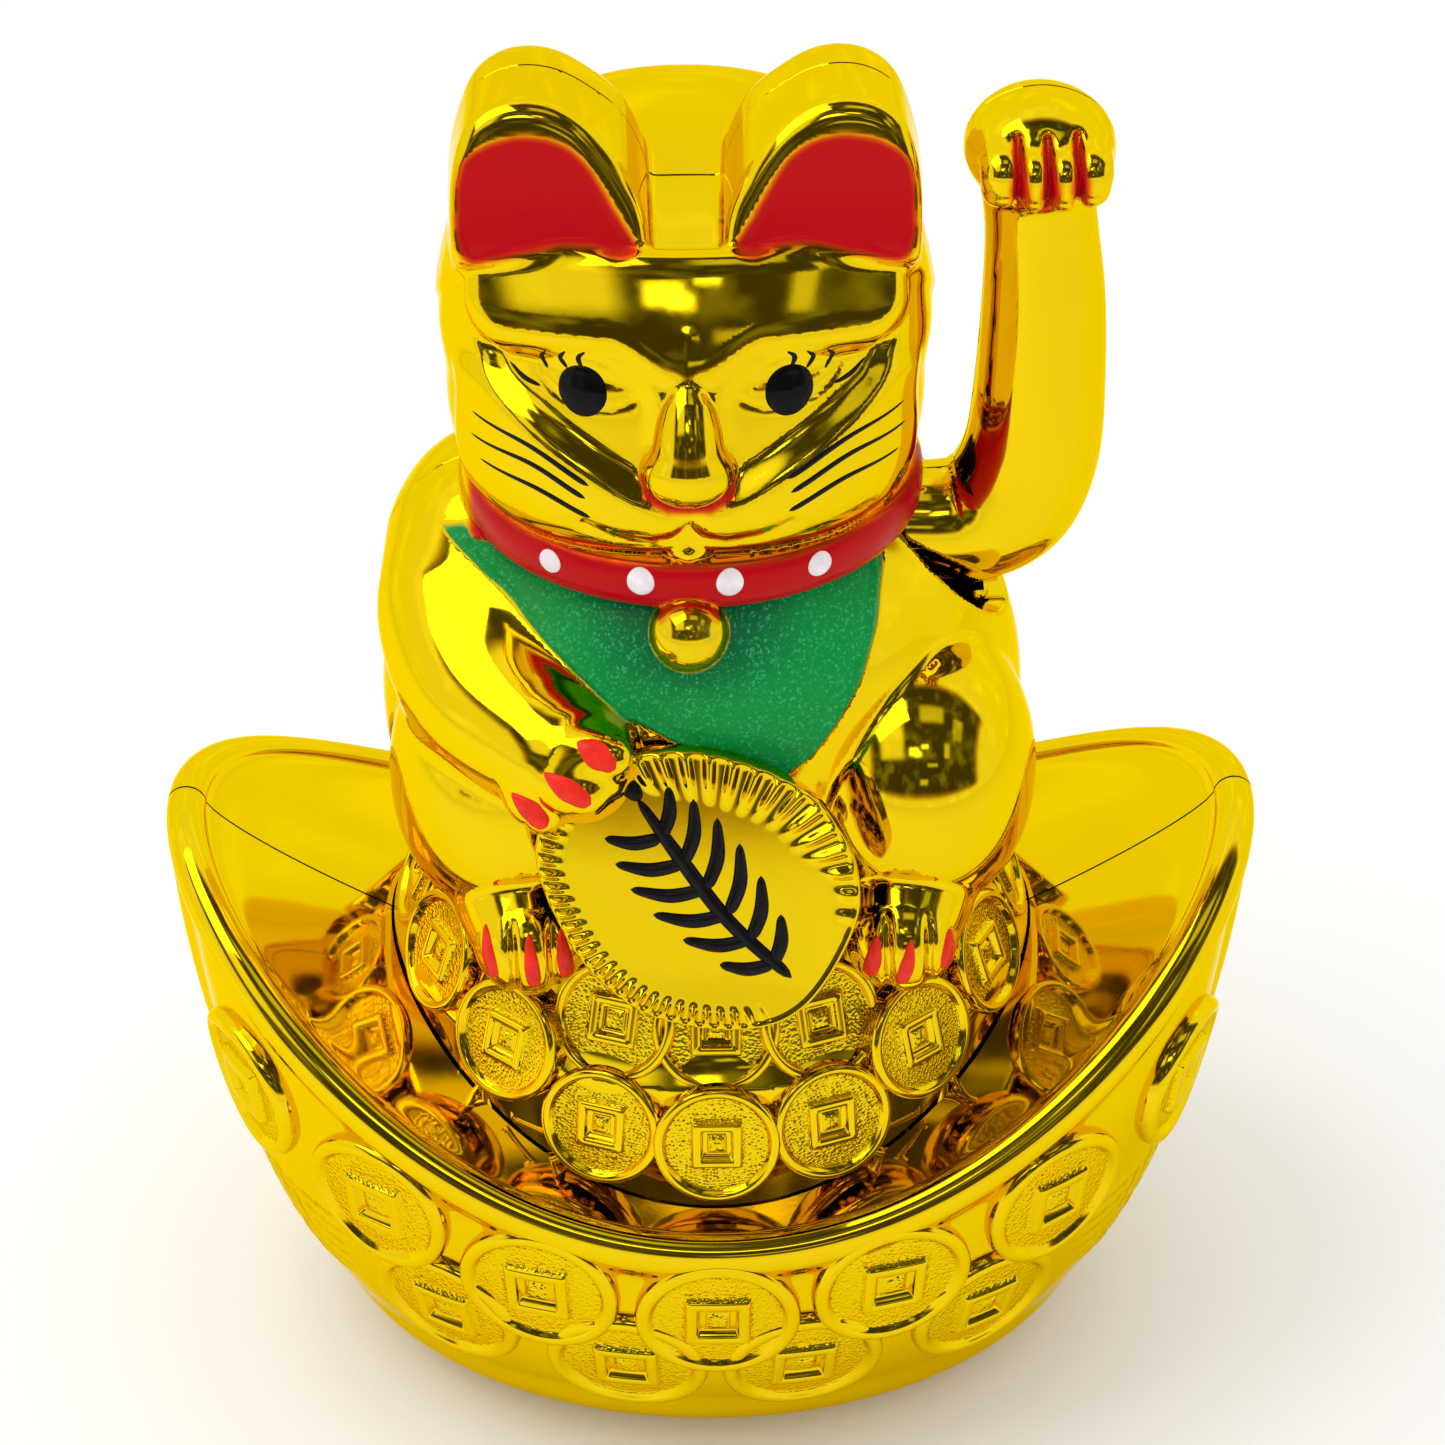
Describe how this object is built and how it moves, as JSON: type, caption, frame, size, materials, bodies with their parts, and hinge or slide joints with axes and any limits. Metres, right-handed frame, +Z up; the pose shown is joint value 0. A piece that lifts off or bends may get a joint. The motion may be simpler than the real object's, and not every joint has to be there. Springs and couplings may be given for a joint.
{
  "type": "beckoning cat figurine",
  "caption": "Gold-coloured beckoning cat on a coin mound in a boat-shaped ingot base, with a battery-driven waving arm.",
  "frame": {"origin": "middle of the underside, on the surface the ingot base stands on", "axes": "+Z up, the cat faces -Y, its raised arm is on the +X side"},
  "size_m": [0.13, 0.095, 0.1682],
  "materials": {
    "gold_plating": "vacuum-metallised yellow gold, mirror gloss",
    "yellow_plastic": "moulded, satin",
    "steel": "zinc plated",
    "black_plastic": "moulded, satin",
    "white_plastic": "moulded, satin",
    "copper": "enamelled winding wire",
    "circuit_board": "lacquered board",
    "cell_jacket": "plain printed jacket",
    "capacitor_sleeve": "shrink sleeve",
    "red_insulation": "soft insulation",
    "ferrite": "sintered, dull"
  },
  "bodies": {
    "base": {"ingot_front_shell": "gold_plating", "ingot_rear_shell": "gold_plating", "base_plate": "yellow_plastic", "base_screw_1": "steel", "base_screw_2": "steel", "base_screw_3": "steel", "base_screw_4": "steel", "battery_cell": "cell_jacket", "plus_contact": "steel", "negative_spring": "steel", "battery_plus_lead": "red_insulation", "battery_minus_lead": "black_plastic", "switch_lead": "yellow_plastic", "switch_housing": "black_plastic", "circuit_board": "circuit_board", "board_screw_1": "steel", "board_screw_2": "steel", "coil_bobbin": "white_plastic", "coil_winding": "copper", "driver_chip": "black_plastic", "capacitor": "capacitor_sleeve", "resistor": "white_plastic", "cat_front_shell": "gold_plating", "cat_rear_shell": "gold_plating", "pivot_frame": "white_plastic", "frame_screw_1": "steel", "frame_screw_2": "steel"},
    "arm": {"arm_front_shell": "gold_plating", "arm_rear_shell": "gold_plating", "arm_socket": "white_plastic", "rocker_hub": "black_plastic", "pivot_pin": "steel", "pendulum_rod": "white_plastic", "balance_weight": "steel", "pendulum_magnet": "ferrite"},
    "door": {"battery_door": "yellow_plastic"},
    "switch": {"switch_knob": "black_plastic"}
  },
  "joints": [
    {"name": "arm_wave", "type": "hinge", "parent": "base", "child": "arm", "pos_m": [0.004, 0, 0.1115], "axis": [1, 0, 0], "range_deg": [-20, 20]},
    {"name": "battery_door_slide", "type": "slide", "parent": "base", "child": "door", "axis": [0, 0, -1], "range_m": [0, 0.008]},
    {"name": "switch_slide", "type": "slide", "parent": "base", "child": "switch", "axis": [1, 0, 0], "range_m": [0, 0.004]}
  ]
}
